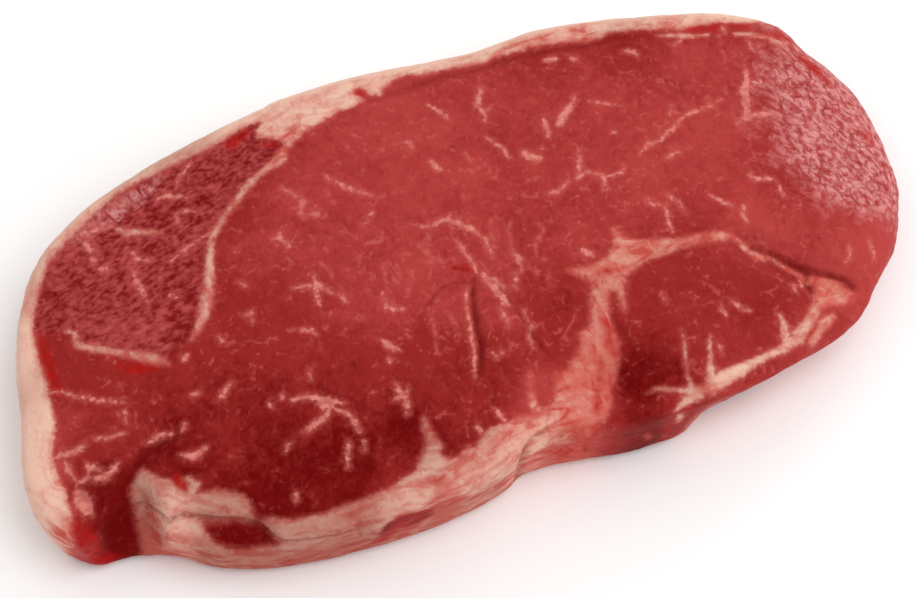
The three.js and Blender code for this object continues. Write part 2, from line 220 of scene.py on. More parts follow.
# Marbling: (width, path) of each fleck and thread.
FLECKS = [
    (1.2, [(-20.5, 30), (-19.5, 28), (-18, 26), (-16, 23.5), (-14, 21.5), (-12.5, 20)]),
    (0.9, [(-31, 30.5), (-29.5, 28.5), (-28.3, 26.5), (-27.5, 24.5)]),
    (2.0, [(-28.2, 25), (-27.2, 24.2)]),
    (0.9, [(-28.5, 23.8), (-29.5, 21.5)]),
    (2.0, [(-26.6, 21), (-25.4, 19.8)]),
    (1.3, [(-37.5, 18), (-36, 17.5), (-35.3, 16.3), (-34.5, 14.5)]),
    (0.8, [(-35.6, 18.8), (-35.4, 17)]),
    (1.0, [(-15.5, 15.3), (-13.8, 16.2)]),
    (1.0, [(-17, 13.5), (-15.5, 14.8)]),
    (1.3, [(-0.2, 31.5), (0.9, 31), (0.8, 29.2)]),
    (1.6, [(3.5, 24.2), (4, 22.5), (4.5, 20.8)]),
    (1.3, [(-38, 3.9), (-35.5, 3.3), (-33, 2.5)]),
    (1.9, [(-33.6, 3), (-32.4, 2.2)]),
    (1.0, [(-33, 2.5), (-32.6, 5.6)]),
    (1.2, [(-33, 2.5), (-31.3, 0.5), (-29.8, -1.3)]),
    (1.0, [(-33, 2.5), (-34, -1)]),
    (0.9, [(-48.5, 10), (-48, 9), (-47.4, 8)]),
    (0.8, [(-51, 1.8), (-49.5, 0.5), (-48.2, 2)]),
    (0.8, [(-49.5, 0.5), (-49.2, -1)]),
    (1.5, [(-5.5, 8), (-3, 7.5), (1, 8), (3, 5.5), (5.2, 3), (6, 1)]),
    (1.1, [(9, 39.5), (10, 37.5), (11.4, 35.5), (11.8, 33.8)]),
    (1.4, [(23, 39.5), (22, 38.5), (20.5, 36.5), (19.8, 34.8), (20, 32), (19.5, 30)]),
    (2.0, [(19.4, 35.6), (19.8, 34.2)]),
    (1.1, [(18, 25.5), (19, 23.5), (20, 21), (20.5, 17.5)]),
    (2.2, [(24, 18.6), (24.6, 17), (25.6, 16), (27, 15)]),
    (1.1, [(28.2, 17.7), (28.8, 17.3)]),
    (1.5, [(32.5, 26), (32, 24), (31.8, 22), (31, 19.8)]),
    (2.2, [(40.5, 27), (39, 26), (37, 24.5), (35.5, 23), (34.3, 22.2)]),
    (1.0, [(42, 29.2), (40.3, 26.8)]),
    (1.5, [(39.4, 41), (42.2, 41)]),
    (0.9, [(44, 26), (46, 25), (47.5, 24), (50, 23)]),
    (1.6, [(45.5, 39.8), (46.5, 38.3)]),
    (1.4, [(58, 37.5), (59.5, 37), (61, 35.6), (60.4, 34.5)]),
    (1.3, [(36, 13.7), (35, 11), (34.2, 9), (33.6, 7.3), (32, 6.2)]),
    (2.0, [(33.9, 7.8), (33.4, 7)]),
    (1.2, [(34, 8), (36, 7.3), (38, 5.5), (38.3, 4.3), (37.5, 2), (36.8, 0.8)]),
    (1.1, [(38, 5), (40.5, 4.5), (43, 4.6), (44, 6)]),
    (1.1, [(25, 5.5), (27, 5), (29, 6), (30.2, 6.6)]),
    (1.2, [(46.4, 16.2), (45.8, 15.5)]),
    (1.1, [(49, 8), (50.5, 9), (52.5, 10), (55, 10), (58, 11.5), (60.5, 12.8), (62.5, 14.2),
           (65, 15), (68, 15.2), (71, 15.5), (74, 16.6)]),
    (2.2, [(51.7, 9.6), (53.3, 9.9)]),
    (0.9, [(54, 5), (58, 5.6)]),
    (0.9, [(60.5, 16), (62, 18.7)]),
    (2.2, [(83.5, 22.5), (82.3, 19.5), (80.3, 17), (79.5, 14), (78.5, 12), (77, 9.3)]),
    (1.6, [(74.5, 8.5), (76.5, 8.9), (78, 9.5), (80, 9.5), (83, 8.5), (85.5, 7.3)]),
    (1.0, [(70.4, 35.2), (72.6, 36.3)]),
    (1.4, [(84.3, 36.6), (84, 35)]),
    (1.0, [(88, 30.5), (88, 28)]),
    (1.9, [(2.4, -8.5), (3.2, -12), (4.2, -15.5), (4.8, -18.5)]),
    (1.4, [(4.4, -11), (5.6, -14.5)]),
    (0.9, [(9.3, -11.4), (8.6, -13.5), (7.8, -15.6)]),
    (0.9, [(-20, -4.7), (-20.5, -8), (-20.3, -9.8)]),
    (1.0, [(0.7, 1.7), (0.9, -1.3), (1.6, -5.4), (1.6, -7.9)]),
    (1.0, [(6.4, 0.8), (6.6, -3), (6.4, -5.6)]),
    (0.9, [(11, -4.6), (10.8, -6.2), (11.4, -9.4), (11.1, -11.3)]),
    (1.0, [(3.6, -17), (2.7, -21), (2.3, -23.5)]),
    (0.9, [(9.2, -11), (8.5, -13.5), (7, -15)]),
    (1.0, [(11, -5), (11.6, -7.5), (12, -9)]),
    (0.8, [(7, -21), (7, -26), (5.5, -28), (5.5, -31)]),
    (1.6, [(25.6, -11), (26.4, -12.5), (27, -14)]),
    (0.8, [(37.4, -28.5), (37.6, -31)]),
    (1.0, [(48.6, -35.8), (48.4, -39)]),
    (1.3, [(51.4, -35.8), (52.5, -38), (54, -39.7)]),
    (0.9, [(43.6, -45), (43.4, -47.6)]),
    (1.1, [(45.4, -4), (45.5, -6), (48, -7), (48, -9), (47, -12), (46.8, -14.5)]),
    (0.9, [(50, -5), (51.5, -7.5), (51.5, -10.5)]),
    (1.1, [(59.3, -8.3), (61, -10.5), (63, -12.6)]),
    (1.1, [(65.7, -13.3), (64, -15), (64.3, -17.3)]),
    (1.3, [(71, -5.3), (70.4, -6.4), (72, -7.5), (75.5, -8.7)]),
    (0.9, [(75.6, -10.8), (75.5, -14.3)]),
    (0.9, [(83.6, -31), (82.6, -33.5), (81, -34.7)]),
    (0.9, [(88.6, -31), (88.4, -33), (87.6, -35.6)]),
    (0.8, [(67, -36), (66, -38)]),
    (1.0, [(69, -35), (68.3, -37.2)]),
    (1.0, [(-95.7, -0.8), (-93, -2), (-91.5, -3.8), (-89, -5.4), (-87, -7), (-84, -8.4),
           (-81.5, -9.6)]),
    (0.9, [(-82.4, -11.2), (-83.2, -14.6)]),
    (1.0, [(-91, -14.8), (-89, -16), (-86, -16.4), (-84, -16.6)]),
    (1.7, [(-100.1, -15.8), (-98.1, -15.9), (-95.2, -16.2), (-93.1, -15.9)]),
    (1.2, [(-98.3, -16.5), (-98, -20.5), (-97, -22.9)]),
    (1.6, [(-97, -22.9), (-94.6, -23), (-91.6, -24.6), (-89.9, -23.9), (-87.9, -22.7)]),
    (1.3, [(-94.6, -23), (-94, -20.4), (-92.6, -21.8), (-91, -23.7)]),
    (3.6, [(-97.7, -24.8), (-97.6, -27.6), (-97.2, -30.4)]),
    (1.3, [(-80.5, -20.6), (-77.5, -20), (-75, -20.6)]),
    (1.1, [(-72.6, -20.8), (-71.4, -19.3)]),
    (1.3, [(-63, -16.7), (-61, -15.5), (-58.8, -13.8)]),
    (1.1, [(-67.8, -13.7), (-66, -13)]),
    (1.3, [(-57.6, -1.6), (-57, -3.6)]),
    (1.3, [(-66.8, -4.6), (-65.4, -3.4)]),
    (1.7, [(-74.8, -26.4), (-72, -27.8), (-69.3, -26.4)]),
    (0.9, [(-51.8, -32.3), (-53.5, -33.4), (-54, -34.2)]),
    (1.3, [(-55.2, -44), (-56, -46)]),
    (1.1, [(-50.6, -21.6), (-49.3, -20.9)]),
    (1.0, [(-53, -21.6), (-53, -23)]),
    (1.6, [(-48.5, -23), (-46, -23), (-44, -23.8), (-42, -25), (-40, -26.5), (-38, -27.8)]),
    (3.2, [(-43, -26), (-40.5, -27)]),
    (1.7, [(-41.3, -28.2), (-43.5, -29.8), (-46, -30.3), (-48.5, -31.3)]),
    (1.3, [(-40.5, -28.2), (-38.3, -30.3), (-37.6, -32.5), (-37.3, -36)]),
    (0.8, [(-37.4, -37.8), (-38.2, -40.5)]),
    (1.1, [(-40.4, -36.8), (-41.5, -39), (-43, -42.8)]),
    (1.3, [(-40.3, -7), (-38.3, -8), (-37.5, -9.3)]),
    (1.1, [(-20.7, -7), (-20.5, -9), (-19, -10), (-17.2, -10.7)]),
    (1.8, [(-24.6, -16.4), (-23.6, -18.5), (-22.3, -20)]),
    (1.1, [(-25, -20.8), (-25, -22.5)]),
    (1.6, [(-26, -27.6), (-25.5, -31), (-25.5, -33), (-26.2, -35.5)]),
    (0.9, [(-27.8, -31.2), (-25.6, -31.6), (-23.6, -29.3)]),
    (1.1, [(-34.2, -1), (-34, -2.6)]),
    (1.3, [(-28.6, -1.8), (-28.4, -3.8)]),
    (0.8, [(-42, -17), (-42.6, -19.8)]),
    (1.0, [(-2.3, -11.3), (-4, -15), (-4.7, -18), (-5.4, -20.5), (-6.3, -24), (-7, -27),
           (-9.3, -33)]),
    (0.8, [(-3.6, -28), (-3, -29.5), (-1.5, -29.5), (-1.4, -28.4)]),
    (1.1, [(-13.6, -46), (-13.3, -43.6)]),
    (1.1, [(-7.4, -45.5), (-7.9, -43), (-8.4, -41.6)]),
    (1.1, [(-68.6, 27.6), (-67.6, 27), (-67.5, 25), (-66, 23.6), (-64.4, 23)]),
    (1.4, [(-69.4, 22.2), (-69.3, 19), (-69, 16), (-69.1, 13.8)]),
    (1.8, [(-77, 34), (-76.8, 32), (-76, 31)]),
    (1.4, [(-76.3, 26), (-74.4, 24.6)]),
    (1.3, [(-77.2, 29.4), (-76, 28)]),
    (1.3, [(-58, 38.8), (-55, 38.4), (-53, 37.5), (-51.4, 36.5)]),
    (1.0, [(-52.5, 41.3), (-50, 43.5), (-47.6, 45.6)]),
    (0.9, [(-56, 30), (-55.2, 33.3), (-52.4, 33), (-50, 31.4)]),
    (0.9, [(-50, 25.2), (-54, 24.2), (-57, 23), (-61, 21)]),
    (1.1, [(-64, 13.2), (-62.4, 11.5)]),
    (1.4, [(-79, 36.8), (-74, 36.1), (-70, 36)]),
    (1.4, [(-68.5, 41.8), (-66.4, 40.6), (-64.5, 40)]),
]

# Thin threads of sinew, and spots of it, fainter than the flecks.
THREAD_WIDTH = 0.8
THREADS = [
    [(-7.3, 4.1), (-5.4, 2.8)], [(-17, 2.3), (-18.1, -2.9)], [(-14.1, 1.1), (-15.4, -4)],
    [(0, 6), (2, 5), (4, 3.5), (5.5, 2), (6.5, -1), (6.3, -5)],
    [(0.5, 2), (0.5, 0), (1.5, -3), (1.5, -7)],
    [(-16.5, -4), (-16.2, -1), (-15.5, 2)],
    [(-11.5, -1.5), (-12.5, -4), (-15.5, -8)],
    [(-12, 3), (-10, 2)], [(-5, 6), (-4.8, 3.5)], [(-8.3, -15), (-8.2, -22)],
    [(-28.7, -3), (-28.5, -3.6)], [(-23.3, -3.2), (-23, -3.8)], [(-21.5, 6.5), (-21.2, 5.8)],
    [(-25, 4), (-24.6, 3.4)], [(-20, 0), (-20.4, -0.6)], [(-12, 28), (-11.6, 27.4)],
    [(-5.8, 31.8), (-5.4, 31)], [(9, 25.7), (9.4, 25)], [(-13, 35.8), (-12.4, 35.2)],
    [(-9.5, 33), (-9, 32.6)], [(-16.5, 32.5), (-16.2, 31.7)], [(-10.5, 38.5), (-9, 36.5)],
    [(-7.5, 19.5), (-7.5, 17.5)], [(6, 17.5), (6.3, 16)], [(6.5, 13), (6.3, 11)],
    [(11.5, 24), (12, 19)], [(-7, 9.5), (-5.5, 9)], [(-1, 9), (0.5, 7.5)], [(3, 8), (4, 6.5)],
    [(86.5, 17.3), (90.5, 17.2)], [(76.3, 17), (76.8, 18.5)], [(81, 30), (81.5, 28.8)],
    [(-79.5, 34), (-74, 37.4), (-68, 40.4)], [(-78, 32.4), (-73, 35.6)],
    [(69.8, 33.5), (70.2, 33)], [(71.5, 35.8), (71.9, 35.2)], [(-12, -14), (-13, -19), (-14.6, -24)],
    [(-9.5, 0), (-7, -1.5), (-5, -1.2)], [(-19, 9), (-16, 8), (-13.5, 8.6)],
    [(-8, 4), (-6.5, 0), (-4, -3)], [(10, 4), (8.6, 0.5), (8, -3.5)],
    [(14, 2), (12, -1.5), (11.6, -4)], [(20, -3), (17, -5.5), (15.4, -9)],
    [(-30, 8), (-28.4, 5), (-29, 3)], [(16, -14), (15, -18)],
]

# Where the flesh opens: the crease in the eye, the cleft at the side muscle, gaping seams. They sink
# in the relief, and the shade inside them is painted dark.
CREASES = [
    [(0.4, -9.2, 0.5), (-1.5, -12.5, 0.8), (-3, -17, 0.9), (-4, -21, 0.8), (-5, -25.5, 0.7),
     (-7, -30, 0.6), (-9, -33.8, 0.4)],
    [(63.2, -23.3, 0.3), (65.8, -25.3, 0.5), (68, -28, 0.8), (69.9, -30.6, 1.1), (72, -33, 1.5),
     (74.8, -35, 1.5), (77.2, -36.7, 1.3), (79.2, -38.4, 1), (80.2, -41, 0.5)],
    [(72, -33.6, 1), (71.2, -36.3, 1.6), (70.2, -39.4, 0.8)],
    [(-75.5, -21.7, 0.5), (-79, -22, 0.9), (-82, -23, 1.2), (-84.5, -25, 1.5), (-86.7, -28, 2)],
    [(0.8, -49.7, 0.4), (-2.5, -50.5, 0.7), (-5, -52, 0.9), (-6.5, -54, 1), (-8, -58, 1)],
    [(17.2, -21.8, 0.3), (16, -24.6, 0.4)],
    [(-3, -4.8, 0.2), (-0.5, -6.5, 0.3)],
    [(-0.3, -9.8, 0.3), (-4, -8.8, 0.3), (-7.6, -8.6, 0.3), (-11, -11, 0.3), (-14.6, -13.9, 0.2),
     (-18.2, -16.9, 0.1)],
    [(4.6, -12.3, 0.1), (5.9, -20.4, 0.3), (6.5, -26.2, 0.4), (7.9, -34.2, 0.2)],
    [(76.8, 7.9, 0.2), (80, 8.1, 0.2)],
]

# Hollows and shaded seams, where the lean is at its darkest: they sink in the relief, and the shade in
# them is painted in as a deep red.
HOLLOWS = [
    [(-74, -21, 0.6), (-79, -22.5, 2), (-84, -25.5, 3.4), (-88.5, -28.5, 5), (-90.5, -33, 6),
     (-91, -46, 7)],
    [(-3, 46.3, 0.4), (10, 45.9, 1.4), (15, 46, 0.9), (26, 44.6, 1.2), (38, 44.4, 1.5), (50, 42, 1.6),
     (57, 42, 0.6), (63, 40.6, 0.4)],
    [(58, -20.5, 0.8), (64, -25.5, 2), (69, -32.5, 3), (75, -38.5, 3), (79.5, -41, 1.5)],
    [(20.4, -44, 3), (21.5, -47, 5), (24, -50, 3)],
    [(24.8, -30, 1.2), (25.5, -36, 1.6), (25, -42, 1.6)],
    [(-1.4, -12, 0.8), (-3, -18, 1.4), (-4.6, -25, 1), (-8, -32, 0.4)],
]

# Wet red flesh, where blood has gathered.
WET_STROKES = [
    [(-94.6, -1, 2.2), (-94.3, 8, 2.4), (-93.6, 14, 1.8)],
    [(-79.8, -0.6, 1.6), (-76.5, -2.6, 3), (-73.5, -4, 1.6)],
    [(-37, 47, 2.4), (-33, 48.6, 2)],
    [(-30, 44, 1.1), (-27.4, 42.4, 1.3)],
    [(-4.6, 48.6, 2.2), (-4.3, 49.2, 1.6)],
    [(27.8, -18.8, 1.8), (28.8, -18.9, 1.8)],
    [(22.6, -31, 1.6), (22, -34, 2), (21.3, -38.6, 2)],
    [(17.5, -40, 1), (15.5, -44, 1.7), (13, -48.5, 1.7), (12, -50.6, 1)],
    [(2, -52.5, 3), (6, -53, 4), (10, -54, 3)],
    [(-26.5, -53.6, 1.6), (-24.5, -53.9, 1.6)],
    [(-101.4, -30, 1), (-99.8, -34.5, 3.6), (-97.5, -38, 6), (-96, -44, 8)],
    [(-77.8, -31, 1.4), (-76.8, -33.8, 1.4)],
    [(94.5, 30.5, 1.4), (97, 29.4, 2.6), (98.8, 27.6, 1.6)],
    [(98.5, 21.6, 1.6), (100, 18, 2.6), (101.3, 14, 2.4), (102, 11, 1.4)],
    [(103, -3.6, 1.6), (102.6, -6.6, 2)],
    [(75.5, 38, 0.8), (79, 37.8, 1.5), (82, 36.8, 1.5), (83.6, 37, 1)],
    [(87, 36, 1), (90.5, 34.8, 1.4)],
    [(-2.5, -5, 1.1), (0.5, -6.5, 1.3)],
    [(61, -49.5, 1), (64.5, -49.6, 1.8), (67.5, -47.3, 1.2)],
]


def strongest(strokes, across, up, width=None):
    """The deepest any of the strokes covers each point."""
    cover = np.full(len(across), -9.0)
    for path in strokes:
        cover = np.maximum(cover, stroke_of(path, across, up, width))
    return cover


def eased(value, start, end):
    """0 before the start, 1 past the end, and a soft slope between."""
    share = np.clip((value - start) / (end - start), 0, 1)
    return share * share * (3 - 2 * share)


lean = np.maximum(field_of(EYE_AND_CAP, plan_x, plan_y), field_of(SIDE_MUSCLE, plan_x, plan_y))
fat = np.maximum(-lean, strongest(FAT_STROKES, plan_x, plan_y))
creases = strongest(CREASES, plan_x, plan_y)
wet = strongest(WET_STROKES, plan_x, plan_y)
hollows = strongest(HOLLOWS, plan_x, plan_y)
threads = strongest(THREADS, plan_x, plan_y, THREAD_WIDTH)

# The front side is seen too. Its marks are given along the side and up from the board.
LEAN_ON_FRONT = [
    [(-75.3, 17.6), (-73, 18.2), (-68, 18.6), (-64, 18.6), (-62.3, 18), (-62.8, 16.6), (-65.5, 15.4),
     (-69, 14.9), (-72.5, 15), (-74.5, 16)],
    [(-41, 7.5), (-39.2, 15.5), (-36.7, 17.6), (-33.7, 17.5), (-28.6, 15), (-29.1, 12),
     (-31.6, 10), (-33.9, 10.2), (-36.5, 11), (-38.9, 8)],
]
# creases on the front side, the fold under the lip among them, sink and are painted dark as shade
FRONT_CREASES = [
    [(-88, 15, 0.3), (-84.5, 16.6, 0.6), (-80, 18, 0.8), (-75, 18.9, 0.8), (-69, 19.3, 0.7),
     (-62, 18.9, 0.6), (-57.5, 18.4, 0.5), (-51, 17.6, 0.5), (-47, 16.6, 0.3)],
    [(-45, 20.5, 0.3), (-45.3, 16, 0.6), (-44.6, 13, 0.3)],
    [(8.8, 10.5, 0.3), (9.4, 7.5, 0.8)],
]
FRONT_THREADS = [
    [(29.8, 16.5, 1.4), (30.3, 14, 2.6), (30.2, 12.6, 1.8)],
    [(28.7, 19.2, 1.1), (30, 20.4, 1.5), (32.5, 20.6, 1.8), (35, 21, 2.2)],
    [(22.6, 11, 0.5), (23.6, 8, 0.9)],
]
FRONT_WET = [
    [(-40, 7, 4), (-38, 11, 4), (-34, 14, 2.4)],
    [(-61, 7.6, 1.4), (-59.5, 7.2, 1.4)],
    [(4, 15.5, 2), (4.4, 20, 2.2)],
    [(-101, 13, 2), (-99, 8, 5), (-96, 2, 7)],
]
on_front = eased(-facing[:, 1], 0.0, 0.3) * (y < -25) * (z < 21.6)
for outline in LEAN_ON_FRONT:
    hole = field_of(outline, x, z)
    fat = np.where(on_front > 0.5, np.minimum(fat, -hole - 0.4), fat)
front_threads = np.where(on_front > 0.3, strongest(FRONT_THREADS, x, z), -9)
fat = np.maximum(fat, front_threads)
creases = np.maximum(creases, np.where(on_front > 0.3, strongest(FRONT_CREASES, x, z), -9))
wet = np.maximum(wet, np.where(on_front > 0.3, strongest(FRONT_WET, x, z), -9))

# The underside was cut by the same knife, through the same muscles, but its marbling is its own.
UNDERSIDE_MARBLING_SHIFT = (9, -4)
is_top = facing[:, 2] > 0.25
is_under = facing[:, 2] < -0.5
fleck_x = np.where(is_under, -x + UNDERSIDE_MARBLING_SHIFT[0], x)
fleck_y = np.where(is_under, y * 0.9 + UNDERSIDE_MARBLING_SHIFT[1], y)
fleck = np.full(len(x), -9.0)
for width, path in FLECKS:
    fleck = np.maximum(fleck, stroke_of(path, fleck_x, fleck_y, width))
fleck = np.where(is_top | is_under, fleck, -9)

# Broad differences over the slice, each worked out from a few noted places: (x, y, reach, value).
# Shade is how light the lean is: partly its own tone, partly painted shade and light, darker towards
# the front left, in pockets and under the back band, lighter on the left side. Cream is how pale the
# fat is.
SHADES = [
    (0, 20, 20, 0.86), (40, 20, 20, 0.84), (70, 15, 15, 0.78), (-30, 12, 16, 0.76), (20, 0, 14, 0.78),
    (40, 38, 14, 0.62), (-45, -8, 12, 0.52), (-55, -25, 14, 0.3), (-45, -42, 12, 0.08),
    (-28, -40, 12, 0.14), (-15, -30, 10, 0.36), (15, -25, 10, 0.45), (-10, -2, 14, 0.85),
    (-70, 25, 20, 0.5), (-85, -5, 12, 0.5), (-45, 42, 12, 0.35), (50, -35, 15, 0.5),
    (28, -50, 10, 0.1), (98, -5, 14, 0.85), (88, -38, 12, 0.95), (78, -15, 12, 0.75),
    (-92, -35, 8, 0.15), (-72, -25, 8, 0.25), (40, -60, 8, 0.5), (8, -46, 8, 0.9),
    (-108, -15, 7, 1.0), (-103, 15, 6, 1.0), (-80, 44, 6, 0.9), (-30, 54, 8, 0.9), (50, 52, 8, 0.9),
    (-72, -46, 6, 0.1), (-54, -56, 6, 0.1), (-33, -53, 6, 0.65), (-20, -55, 7, 0.65),
    (0, -52, 7, 0.9),
    (60, -52, 7, 0.8), (20, -32, 6, 0.7), (57, 39, 6, 0.15), (-92, -29, 5, 0.0), (42, -55, 6, 0.95),
    (-83, -40, 5, 0.85), (-104, -32, 5, 1.0), (-47, -56, 4, 0.1), (30.2, -55, 3, 1.0),
    (-79, -5, 6, 0.2), (-89, -1, 5, 0.4), (-96, -8, 4, 0.9), (-64, 10, 8, 0.7), (7, -18, 5, 0.75),
    (-16, -35, 6, 0.45), (-46, -42, 7, -0.1), (-60, -40, 7, -0.1), (64, 38, 5, 0.55),
    (68, -20, 8, 0.95), (42, -44, 6, 0.75), (-32, -27, 6, 0.45), (-31, 25, 7, 0.9), (85, -28, 6, 1.0),
]
CREAMS = [
    (-106, -15, 16, 1.0), (-100, 15, 14, 0.95), (-90, 33, 12, 0.6), (-75, 43, 12, 0.6),
    (-58, 49, 12, 0.6), (-33, 47, 14, 0.75), (-10, 52, 10, 0.65), (15, 50, 12, 0.6),
    (45, 47, 18, 0.42), (80, 41, 10, 0.55), (88, 40, 8, 0.75), (-57, 10, 12, 0.35),
    (-30, 38, 10, 0.25), (-78, 3, 12, 0.3), (-76, -38, 9, 0.6), (-88, -38, 5, 0.0),
    (-60, -50, 8, 0.6), (-42, -52, 8, 0.6), (-31, -51, 6, 0.62), (-20, -51, 7, 0.35),
    (-5, -48, 8, 0.35), (-5, -56, 6, 0.85), (6, -46, 7, 0.12), (12, -54, 6, 0.0),
    (15, -36, 8, 0.12), (24, -22, 8, 0.15), (40, -17, 10, 0.25), (58, -20, 8, 0.25),
    (35, -54, 6, 0.3), (44, -53, 8, 0.95), (60, -50, 8, 0.7), (76, -43, 8, 0.05),
    (-97, -22, 8, 0.4), (92, 32, 6, 0.25), (12, 53, 8, 1.0), (85, 39.5, 6, 1.1), (-16, -56, 5, 0.9),
    (-7, -53, 4, 0.8), (0, -52, 4, 0.7), (-83, -40, 4, 0.8), (75, -43, 4, -0.3), (-47, -56, 4, 0.25),
    (-31, -50, 4, 0.3), (-26, -49, 3, 1.0), (0, -46, 3, 0.65), (-57, 8, 5, 0.6),
    (-50, 21, 4, 0.9), (-26, 43, 4, 0.0), (-18, 53, 6, 0.95), (46, 47, 6, 0.2),
    (61, 46, 6, 0.9), (31, -21, 4, -0.1), (30.2, -55, 3, 1.2),
    (-104, -32, 3, 0.1), (-26, -54, 3, -0.1), (-54, 16, 3, 0.5), (42, -54.5, 3, 0.6),
]
# Where the strands of the fat run up the slice instead of along its rim, and where threads are many.
STRANDS_ACROSS = [
    (24, -36, 8, 1), (22, -24, 7, 0.8), (15, -42, 7, 0.6), (0, -50, 10, 0), (-60, -50, 20, 0),
    (-57, 10, 14, 1), (-100, 0, 20, 0), (0, 52, 20, 0), (50, 48, 20, 0), (48, -17, 10, 0.2),
    (55, -52, 12, 0),
]
MANY_THREADS = [
    (-5, 2, 10, 1.0), (-20, 0, 8, 0.7), (10, -8, 8, 0.8), (-33, 5, 10, 0.5), (-80, -18, 9, 0.5),
    (0, 30, 16, 0.3), (35, 20, 20, 0.3), (-35, -25, 10, 0.4), (-50, 5, 10, 0.3), (60, 30, 14, 0.5),
    (50, -35, 12, 0.25), (-45, -42, 10, 0.2), (80, 25, 10, 0.8), (70, -12, 10, 0.5), (20, 5, 8, 0.5),
]


def spread(notes):
    """Ease from note to note over the plan of the slice."""
    total = np.full(len(x), 1e-6)
    level = total * 0.5
    for note_x, note_y, reach, value in notes:
        weight = np.exp(-((x - note_x) ** 2 + (y - note_y) ** 2) / reach**2)
        total = total + weight
        level = level + weight * value
    return level / total


shade = spread(SHADES)
cream = spread(CREAMS)
# painted shade: the low front side, where less light falls, gets darker lean and darker, pinker fat
low_front_shade = on_front * (1 - eased(z, 12, 17)) * eased(x, -96, -86)
# painted highlight: the fat is made paler, up to the palest cream, where the rim faces the back
cream = cream - 0.3 * low_front_shade + 0.5 * eased(facing[:, 1], 0.05, 0.6)
shade = shade - 0.2 * low_front_shade * (x < -10)

CAP_EDGE = [
    (-120, 14), (-88, 13), (-84, 5.5), (-78, 1.5), (-72, -3.5), (-63, 0), (-57, 8), (-54, 16),
    (-50, 24), (-43, 30), (-33, 37), (-22, 43), (-30, 70), (-120, 70),
]
cap = eased(field_of(CAP_EDGE, plan_x, plan_y), -0.6, 0.8)

# The thin end is wrinkled past a slanting line, paler from a drier skin and from a painted sheen, but
# not along its front edge, and less at its back corner. A film over the far edge of the cap looks much
# the same.
past_line = x - 82 - 0.24 * y
behind_front = y + 0.5 * (x - 95)
wrinkle = eased(past_line, -17, 16) * eased(behind_front, -38, -10)
wrinkle = wrinkle * (1 - 0.45 * eased(y, 12, 30)) * is_top
FILM = [(-78, 36, 5), (-72, 38.5, 7), (-62, 41, 7), (-55, 44, 3)]
wrinkle = np.maximum(wrinkle, 0.6 * eased(stroke_of(FILM, x, y), -2.0, 3) * is_top)

# The strands of the fat run along the rim: this path stands for it, from the thin end round by the
# front edge.
RIM = [
    (108, 2), (97, -31), (76, -49.5), (43, -57), (8, -53), (-28, -56.5), (-64, -52.5), (-84, -41),
    (-100, -36.5), (-108, -22), (-105, -7), (-98, 20), (-88, 34.5), (-60, 48.5), (-21, 55.5),
    (10, 53),
    (41, 51.5), (77, 45), (99.5, 35.4), (108, 2),
]
inset, run = nearest_on(RIM, x, y)
run = run * np.linalg.norm(np.diff(np.array(RIM, float), axis=0), axis=1).sum()

# Each mark is a number at every point of the mesh, which the flesh and its relief read by name.
MARKS = {
    "fat": np.clip(fat, -4, 6),
    "fleck": np.clip(fleck, -2, 3),
    "crease": eased(creases, -0.5, 0.5),
    "hollow": eased(hollows, -1.8, 1.4),
    "thread": eased(threads, -0.5, 0.4) * is_top,
    "threads": spread(MANY_THREADS) * (1 - eased(hollows, -1.8, 1.4)) - 0.5 * on_front,
    "across": spread(STRANDS_ACROSS),
    "run": run,
    "inset": inset,
    "wet": eased(wet, -1.2, 1.0),
    "shade": shade,
    "cream": cream,
    "cap": cap,
    "wrinkle": wrinkle,
}
for name, values in MARKS.items():
    mark = steak_slice.data.attributes.new(name, "FLOAT", "POINT")
    mark.data.foreach_set("value", values.astype(np.float32))

# ---- What raw beef looks like --------------------------------------------------------------------
# Lean is a deep red, mottled and finely grained, with pale threads; fat is cream to pink and waxy.
# Two node groups make the colour, gloss and grain of each, and the marks above say where each is.


def linear(red, green, blue):
    """A colour given as 0 to 255 on a screen, for a shader."""
    channels = [value / 255 for value in (red, green, blue)]
    eased_out = [c / 12.92 if c <= 0.04045 else ((c + 0.055) / 1.055) ** 2.4 for c in channels]
    return (*eased_out, 1)


LEAN_DARK = linear(108, 4, 4)
LEAN_RED = linear(149, 37, 34)
LEAN_LIGHT = linear(180, 64, 61)
LEAN_STREAK = linear(194, 84, 78)
LEAN_THREAD = linear(200, 96, 90)
CAP_DARK = linear(122, 14, 15)
CAP_PALE = linear(178, 74, 73)
WET_RED = linear(174, 14, 7)
# pale pink of a drier skin and of a painted sheen on the thin end
WRINKLE_PINK_SHEEN = linear(228, 156, 154)
WRINKLE_DARK = linear(146, 26, 30)
# the palest fat, also used as a painted highlight along the back rim
FAT_PALE_AND_RIM_HIGHLIGHT = linear(240, 214, 204)
FAT_CREAM = linear(234, 190, 170)
FAT_PINK = linear(206, 100, 88)
FAT_EDGE = linear(190, 66, 58)
# the colour of fat in painted shade
FAT_IN_SHADE = linear(140, 62, 50)
FLECK_PINK = linear(220, 132, 120)
# the deep red of painted shade in hollows and creases
SHADE_RED = linear(104, 6, 6)
# the colour of painted shade in creases through fat
FAT_CREASE_SHADE = linear(130, 52, 42)


def join(tree, source, socket):
    """Set a socket to a plain value, or link another socket to it."""
    if isinstance(source, bpy.types.NodeSocket):
        tree.links.new(source, socket)
    else:
        socket.default_value = source


def calc(tree, operation, a, b=0.0):
    """A sum of two sources, such as ADD or SUBTRACT."""
    node = tree.nodes.new("ShaderNodeMath")
    node.operation = operation
    join(tree, a, node.inputs[0])
    join(tree, b, node.inputs[1])
    return node.outputs[0]


def product(tree, first, *others):
    for other in others:
        first = calc(tree, "MULTIPLY", first, other)
    return first


